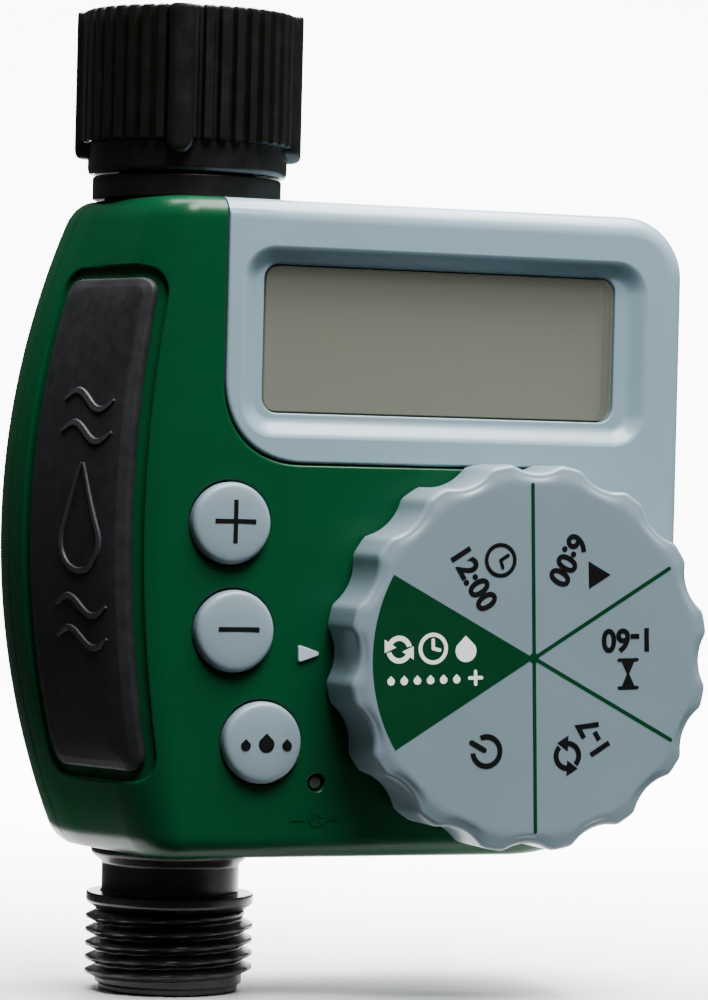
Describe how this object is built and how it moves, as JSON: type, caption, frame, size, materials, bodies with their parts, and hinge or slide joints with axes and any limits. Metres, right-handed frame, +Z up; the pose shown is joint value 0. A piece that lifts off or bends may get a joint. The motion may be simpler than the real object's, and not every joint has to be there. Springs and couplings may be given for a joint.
{
  "type": "hose tap irrigation timer",
  "caption": "Hose-tap watering timer: swivel inlet nut, latching valve inside a bulged case, hose-threaded outlet, display, push buttons and a large scalloped selector dial.",
  "frame": {"origin": "centre of the inlet washer's top face, on the water axis, where the tap's rim seats", "axes": "+Z up along the water axis towards the tap; +X to the right along the flat front face; -Y out of the front face"},
  "size_m": [0.1051, 0.0567, 0.1563],
  "materials": {
    "shell_green": "fine-textured satin injection moulding",
    "bezel_grey": "smooth satin blue-grey moulding",
    "control_grey": "fine-textured satin blue-grey moulding",
    "fitting_black": "glass-filled black plastic with a soft sheen",
    "panel_charcoal": "scuffed charcoal moulding",
    "lens_clear": "clear polished window",
    "lcd_glass": "olive-grey display behind the window",
    "rubber_black": "dull black rubber",
    "plastic_black": "plain black moulding inside the case",
    "plastic_white": "natural white moulding",
    "steel_zinc": "bright zinc plating",
    "copper_wire": "enamelled copper and spring bronze",
    "board_green": "solder-masked board",
    "cell_wrap": "plain printed sleeve with bright ends",
    "legend_black": "printed ink",
    "legend_white": "printed ink",
    "legend_green": "printed ink"
  },
  "bodies": {
    "housing": {"front_shell": "shell_green", "rear_shell": "shell_green", "display_bezel": "bezel_grey", "pointer_mark": "control_grey", "valve_body": "fitting_black", "diaphragm_cover": "fitting_black", "side_panel": "panel_charcoal", "display_lens": "lens_clear", "lcd_panel": "lcd_glass", "zebra_strip": "rubber_black", "keypad_mat": "rubber_black", "inlet_washer": "rubber_black", "inlet_o_ring": "rubber_black", "outlet_o_ring": "rubber_black", "diaphragm": "rubber_black", "battery_gasket": "rubber_black", "lcd_holder": "plastic_black", "battery_box": "plastic_black", "controller_chip": "plastic_black", "reset_switch": "plastic_black", "inlet_filter": "plastic_white", "detent_spring": "steel_zinc", "valve_screw_1": "steel_zinc", "valve_screw_2": "steel_zinc", "valve_screw_3": "steel_zinc", "valve_screw_4": "steel_zinc", "solenoid_yoke": "steel_zinc", "plunger_spring": "steel_zinc", "nut_retaining_ring": "steel_zinc", "battery_spring_1": "steel_zinc", "battery_spring_2": "steel_zinc", "battery_contact_low": "steel_zinc", "battery_contact_high": "steel_zinc", "battery_door_pin": "steel_zinc", "case_screw_1": "steel_zinc", "case_screw_2": "steel_zinc", "case_screw_3": "steel_zinc", "case_screw_4": "steel_zinc", "case_screw_5": "steel_zinc", "board_screw_1": "steel_zinc", "board_screw_2": "steel_zinc", "quartz_crystal": "steel_zinc", "solenoid_coil": "copper_wire", "circuit_board": "board_green", "battery_cell_1": "cell_wrap", "battery_cell_2": "cell_wrap", "storage_capacitor": "cell_wrap"},
    "nut": {"swivel_nut": "fitting_black"},
    "dial_knob": {"dial": "control_grey", "dial_rotor": "plastic_white", "dial_screw": "steel_zinc", "dial_wiper": "copper_wire"},
    "plus_key": {"plus_button": "control_grey"},
    "minus_key": {"minus_button": "control_grey"},
    "manual_key": {"manual_button": "control_grey"},
    "reset_key": {"reset_pin": "plastic_white"},
    "door": {"battery_door": "shell_green"},
    "plunger": {"solenoid_plunger": "steel_zinc"}
  },
  "joints": [
    {"name": "nut_turn", "type": "hinge", "parent": "housing", "child": "nut", "pos_m": [0, 0, 0], "axis": [0, 0, 1], "continuous": true},
    {"name": "dial_turn", "type": "hinge", "parent": "housing", "child": "dial_knob", "pos_m": [0.0464, -0.03, -0.0887], "axis": [0, -1, 0], "continuous": true},
    {"name": "plus_press", "type": "slide", "parent": "housing", "child": "plus_key", "axis": [0, 1, 0], "range_m": [0, 0.0012], "stiffness_N_per_m": 500},
    {"name": "minus_press", "type": "slide", "parent": "housing", "child": "minus_key", "axis": [0, 1, 0], "range_m": [0, 0.0012], "stiffness_N_per_m": 500},
    {"name": "manual_press", "type": "slide", "parent": "housing", "child": "manual_key", "axis": [0, 1, 0], "range_m": [0, 0.0012], "stiffness_N_per_m": 500},
    {"name": "reset_press", "type": "slide", "parent": "housing", "child": "reset_key", "axis": [0, 1, 0], "range_m": [0, 0.0005], "stiffness_N_per_m": 400},
    {"name": "battery_door_swing", "type": "hinge", "parent": "housing", "child": "door", "pos_m": [0.0372, 0.0174, -0.0725], "axis": [0, 0, 1], "range_deg": [0, 100]},
    {"name": "plunger_lift", "type": "slide", "parent": "housing", "child": "plunger", "axis": [1, 0, 0], "range_m": [0, 0.0018], "stiffness_N_per_m": 200, "deforming": ["plunger_spring"]}
  ]
}
